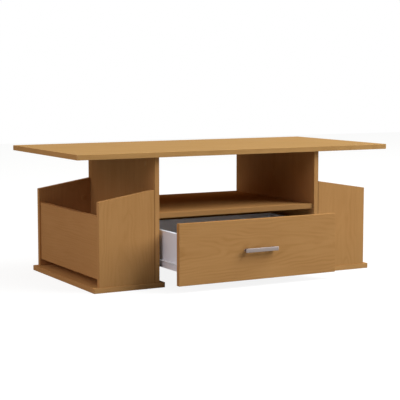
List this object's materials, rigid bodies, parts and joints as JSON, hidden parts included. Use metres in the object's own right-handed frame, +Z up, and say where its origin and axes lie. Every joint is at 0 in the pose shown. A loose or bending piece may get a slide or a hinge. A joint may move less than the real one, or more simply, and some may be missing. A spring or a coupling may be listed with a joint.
{
  "type": "coffee table",
  "caption": "Low beech-faced coffee table with an open shelf, an inset drawer on roller runners and slope-topped magazine boxes at its ends.",
  "frame": {"origin": "on the floor, under the middle of the outline as stored, from the top's rear edge to the handle of the drawer, which stands 122 mm open", "axes": "+X along the table to the right as seen from its front, +Y towards its back, +Z up"},
  "size_m": [1.1, 0.65, 0.41],
  "materials": {
    "beech_board": "beech-printed facing on chipboard",
    "beech_edging": "beech-coloured edge band",
    "white_board": "white-faced chipboard",
    "white_hardboard": "white lacquered hardboard",
    "satin_metal": "satin silver",
    "beech_plastic": "beech-coloured cover caps",
    "white_steel": "white powder coat",
    "nylon": "white nylon",
    "zinc": "die-cast zinc",
    "steel": "zinc-plated",
    "dowel_wood": "raw beech"
  },
  "bodies": {
    "frame": {"table_top": "beech_board", "shelf": "beech_board", "rear_panel": "beech_board", "left_base_plate": "beech_board", "right_base_plate": "beech_board", "left_upright": "beech_board", "right_upright": "beech_board", "left_front_panel": "beech_board", "right_front_panel": "beech_board", "left_back_panel": "beech_board", "right_back_panel": "beech_board", "left_outer_panel": "beech_board", "right_outer_panel": "beech_board", "table_top_edge_band": "beech_edging", "cam_caps": "beech_plastic", "left_cabinet_runner": "white_steel", "right_cabinet_runner": "white_steel", "cam_locks": "zinc", "cam_bolts": "steel", "base_screws": "steel", "cabinet_runner_screws": "steel", "cabinet_roller_pins": "steel", "wood_dowels": "dowel_wood"},
    "drawer": {"drawer_front": "beech_board", "drawer_back": "white_board", "drawer_bottom": "white_hardboard", "handle_bar": "satin_metal", "handle_posts": "satin_metal", "handle_screws": "steel", "drawer_cam_locks": "zinc", "drawer_cam_bolts": "steel", "drawer_wood_dowels": "dowel_wood", "drawer_back_screws": "steel", "drawer_bottom_screws": "steel", "drawer_runner_screws": "steel", "drawer_roller_pins": "steel", "left_drawer_side": "white_board", "right_drawer_side": "white_board", "left_drawer_runner": "white_steel", "right_drawer_runner": "white_steel"},
    "left_cabinet_roller": {"left_cabinet_roller": "nylon"},
    "right_cabinet_roller": {"right_cabinet_roller": "nylon"},
    "left_drawer_roller": {"left_drawer_roller": "nylon"},
    "right_drawer_roller": {"right_drawer_roller": "nylon"}
  },
  "joints": [
    {"name": "drawer_slide", "type": "slide", "parent": "frame", "child": "drawer", "axis": [0, -1, 0], "range_m": [-0.122, 0.128]},
    {"name": "left_cabinet_roller_spin", "type": "hinge", "parent": "frame", "child": "left_cabinet_roller", "pos_m": [-0.272, -0.151, 0.0735], "axis": [1, 0, 0], "continuous": true},
    {"name": "right_cabinet_roller_spin", "type": "hinge", "parent": "frame", "child": "right_cabinet_roller", "pos_m": [0.272, -0.151, 0.0735], "axis": [1, 0, 0], "continuous": true},
    {"name": "left_drawer_roller_spin", "type": "hinge", "parent": "drawer", "child": "left_drawer_roller", "pos_m": [-0.272, 0.043, 0.0733], "axis": [1, 0, 0], "continuous": true},
    {"name": "right_drawer_roller_spin", "type": "hinge", "parent": "drawer", "child": "right_drawer_roller", "pos_m": [0.272, 0.043, 0.0733], "axis": [1, 0, 0], "continuous": true}
  ],
  "couplings": [
    {"joint": "left_cabinet_roller_spin", "follows": "drawer_slide", "rad_per_m": 111.11},
    {"joint": "right_cabinet_roller_spin", "follows": "drawer_slide", "rad_per_m": 111.11},
    {"joint": "left_drawer_roller_spin", "follows": "drawer_slide", "rad_per_m": 90.909},
    {"joint": "right_drawer_roller_spin", "follows": "drawer_slide", "rad_per_m": 90.909}
  ]
}
